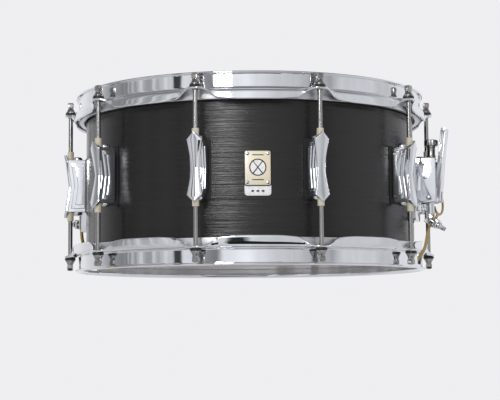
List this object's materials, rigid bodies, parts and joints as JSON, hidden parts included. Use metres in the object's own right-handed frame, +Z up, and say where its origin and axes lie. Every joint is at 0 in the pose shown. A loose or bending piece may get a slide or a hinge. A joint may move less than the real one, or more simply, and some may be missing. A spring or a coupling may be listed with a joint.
{
  "type": "snare drum",
  "caption": "Free-standing snare drum: stained wooden shell, chrome hoops on tension rods and lugs, two heads, and snare wires on a throw-off and a butt plate.",
  "frame": {"origin": "on the drum's axis, in the plane of the bottom hoop's outer edge, which the drum stands on", "axes": "+Z up along the drum's axis, from the snare side to the batter side; -Y points at the badge; +X is to the right of the badge, towards the throw-off"},
  "size_m": [0.4071, 0.3844, 0.1866],
  "materials": {
    "hoop_chrome": "polished chrome plate on pressed steel",
    "lug_chrome": "chrome plate on die-cast zinc",
    "fitting_chrome": "chrome plate on die-cast zinc",
    "rod_steel": "nickel-bright plated steel",
    "shell_wood": "charcoal stained, open horizontal grain, satin lacquer",
    "coated_film": "coated white polyester film",
    "clear_film": "thin hazy polyester film",
    "collar_aluminium": "plain satin aluminium",
    "badge_brass": "brushed, with a dark printed border",
    "badge_tab_white": "white print",
    "wire_steel": "bright steel coils",
    "cord_gold": "braided gold cord"
  },
  "bodies": {
    "drum": {"top_hoop": "hoop_chrome", "bottom_hoop": "hoop_chrome", "lug_01": "lug_chrome", "lug_02": "lug_chrome", "lug_03": "lug_chrome", "lug_04": "lug_chrome", "lug_05": "lug_chrome", "lug_06": "lug_chrome", "lug_07": "lug_chrome", "lug_08": "lug_chrome", "lug_09": "lug_chrome", "lug_10": "lug_chrome", "shell": "shell_wood", "air_vent": "fitting_chrome", "batter_head_film": "coated_film", "batter_head_collar": "collar_aluminium", "snare_head_film": "clear_film", "snare_head_collar": "collar_aluminium", "badge_plate": "badge_brass", "badge_tab": "badge_tab_white", "strainer_base": "fitting_chrome", "lever_pin": "rod_steel", "strainer_mount_screw_1": "rod_steel", "strainer_mount_screw_2": "rod_steel", "butt_base": "fitting_chrome", "butt_clamp_bar": "fitting_chrome", "butt_clamp_screw_1": "rod_steel", "butt_clamp_screw_2": "rod_steel", "butt_mount_screw_1": "rod_steel", "butt_mount_screw_2": "rod_steel", "snare_wires": "wire_steel", "butt_cord": "cord_gold"},
    "lever": {"strainer_lever": "fitting_chrome"},
    "carriage": {"strainer_carriage": "fitting_chrome", "strainer_clamp_bar": "fitting_chrome", "strainer_clamp_screw_1": "rod_steel", "strainer_clamp_screw_2": "rod_steel", "strainer_cord": "cord_gold"},
    "knob": {"tension_knob": "fitting_chrome"},
    "top_rod_01_body": {"top_rod_01": "rod_steel"},
    "bottom_rod_01_body": {"bottom_rod_01": "rod_steel"},
    "top_rod_02_body": {"top_rod_02": "rod_steel"},
    "bottom_rod_02_body": {"bottom_rod_02": "rod_steel"},
    "top_rod_03_body": {"top_rod_03": "rod_steel"},
    "bottom_rod_03_body": {"bottom_rod_03": "rod_steel"},
    "top_rod_04_body": {"top_rod_04": "rod_steel"},
    "bottom_rod_04_body": {"bottom_rod_04": "rod_steel"},
    "top_rod_05_body": {"top_rod_05": "rod_steel"},
    "bottom_rod_05_body": {"bottom_rod_05": "rod_steel"},
    "top_rod_06_body": {"top_rod_06": "rod_steel"},
    "bottom_rod_06_body": {"bottom_rod_06": "rod_steel"},
    "top_rod_07_body": {"top_rod_07": "rod_steel"},
    "bottom_rod_07_body": {"bottom_rod_07": "rod_steel"},
    "top_rod_08_body": {"top_rod_08": "rod_steel"},
    "bottom_rod_08_body": {"bottom_rod_08": "rod_steel"},
    "top_rod_09_body": {"top_rod_09": "rod_steel"},
    "bottom_rod_09_body": {"bottom_rod_09": "rod_steel"},
    "top_rod_10_body": {"top_rod_10": "rod_steel"},
    "bottom_rod_10_body": {"bottom_rod_10": "rod_steel"}
  },
  "joints": [
    {"name": "throw_off_lever", "type": "hinge", "parent": "drum", "child": "lever", "pos_m": [0.18584, -0.06038, 0.0739], "axis": [0.309, 0.9511, 0], "range_deg": [0, 90]},
    {"name": "snare_release", "type": "slide", "parent": "drum", "child": "carriage", "axis": [0, 0, -1], "range_m": [0, 0.004]},
    {"name": "tension_knob_turn", "type": "hinge", "parent": "drum", "child": "knob", "pos_m": [0.18783, -0.06103, 0.1313], "axis": [0, 0, 1], "continuous": true},
    {"name": "top_rod_01_turn", "type": "hinge", "parent": "drum", "child": "top_rod_01_body", "pos_m": [0.0598, -0.18403, 0.1705], "axis": [0, 0, 1], "continuous": true},
    {"name": "top_rod_02_turn", "type": "hinge", "parent": "drum", "child": "top_rod_02_body", "pos_m": [0.15654, -0.11374, 0.1705], "axis": [0, 0, 1], "continuous": true},
    {"name": "top_rod_03_turn", "type": "hinge", "parent": "drum", "child": "top_rod_03_body", "pos_m": [0.1935, 0, 0.1705], "axis": [0, 0, 1], "continuous": true},
    {"name": "top_rod_04_turn", "type": "hinge", "parent": "drum", "child": "top_rod_04_body", "pos_m": [0.15654, 0.11374, 0.1705], "axis": [0, 0, 1], "continuous": true},
    {"name": "top_rod_05_turn", "type": "hinge", "parent": "drum", "child": "top_rod_05_body", "pos_m": [0.0598, 0.18403, 0.1705], "axis": [0, 0, 1], "continuous": true},
    {"name": "top_rod_06_turn", "type": "hinge", "parent": "drum", "child": "top_rod_06_body", "pos_m": [-0.0598, 0.18403, 0.1705], "axis": [0, 0, 1], "continuous": true},
    {"name": "top_rod_07_turn", "type": "hinge", "parent": "drum", "child": "top_rod_07_body", "pos_m": [-0.15654, 0.11374, 0.1705], "axis": [0, 0, 1], "continuous": true},
    {"name": "top_rod_08_turn", "type": "hinge", "parent": "drum", "child": "top_rod_08_body", "pos_m": [-0.1935, 0, 0.1705], "axis": [0, 0, 1], "continuous": true},
    {"name": "top_rod_09_turn", "type": "hinge", "parent": "drum", "child": "top_rod_09_body", "pos_m": [-0.15654, -0.11374, 0.1705], "axis": [0, 0, 1], "continuous": true},
    {"name": "top_rod_10_turn", "type": "hinge", "parent": "drum", "child": "top_rod_10_body", "pos_m": [-0.0598, -0.18403, 0.1705], "axis": [0, 0, 1], "continuous": true},
    {"name": "bottom_rod_01_turn", "type": "hinge", "parent": "drum", "child": "bottom_rod_01_body", "pos_m": [0.0598, -0.18403, 0.0161], "axis": [0, 0, -1], "continuous": true},
    {"name": "bottom_rod_02_turn", "type": "hinge", "parent": "drum", "child": "bottom_rod_02_body", "pos_m": [0.15654, -0.11374, 0.0161], "axis": [0, 0, -1], "continuous": true},
    {"name": "bottom_rod_03_turn", "type": "hinge", "parent": "drum", "child": "bottom_rod_03_body", "pos_m": [0.1935, 0, 0.0161], "axis": [0, 0, -1], "continuous": true},
    {"name": "bottom_rod_04_turn", "type": "hinge", "parent": "drum", "child": "bottom_rod_04_body", "pos_m": [0.15654, 0.11374, 0.0161], "axis": [0, 0, -1], "continuous": true},
    {"name": "bottom_rod_05_turn", "type": "hinge", "parent": "drum", "child": "bottom_rod_05_body", "pos_m": [0.0598, 0.18403, 0.0161], "axis": [0, 0, -1], "continuous": true},
    {"name": "bottom_rod_06_turn", "type": "hinge", "parent": "drum", "child": "bottom_rod_06_body", "pos_m": [-0.0598, 0.18403, 0.0161], "axis": [0, 0, -1], "continuous": true},
    {"name": "bottom_rod_07_turn", "type": "hinge", "parent": "drum", "child": "bottom_rod_07_body", "pos_m": [-0.15654, 0.11374, 0.0161], "axis": [0, 0, -1], "continuous": true},
    {"name": "bottom_rod_08_turn", "type": "hinge", "parent": "drum", "child": "bottom_rod_08_body", "pos_m": [-0.1935, 0, 0.0161], "axis": [0, 0, -1], "continuous": true},
    {"name": "bottom_rod_09_turn", "type": "hinge", "parent": "drum", "child": "bottom_rod_09_body", "pos_m": [-0.15654, -0.11374, 0.0161], "axis": [0, 0, -1], "continuous": true},
    {"name": "bottom_rod_10_turn", "type": "hinge", "parent": "drum", "child": "bottom_rod_10_body", "pos_m": [-0.0598, -0.18403, 0.0161], "axis": [0, 0, -1], "continuous": true}
  ],
  "couplings": [
    {"joint": "snare_release", "follows": "throw_off_lever", "m_per_rad": 0.0025465}
  ]
}
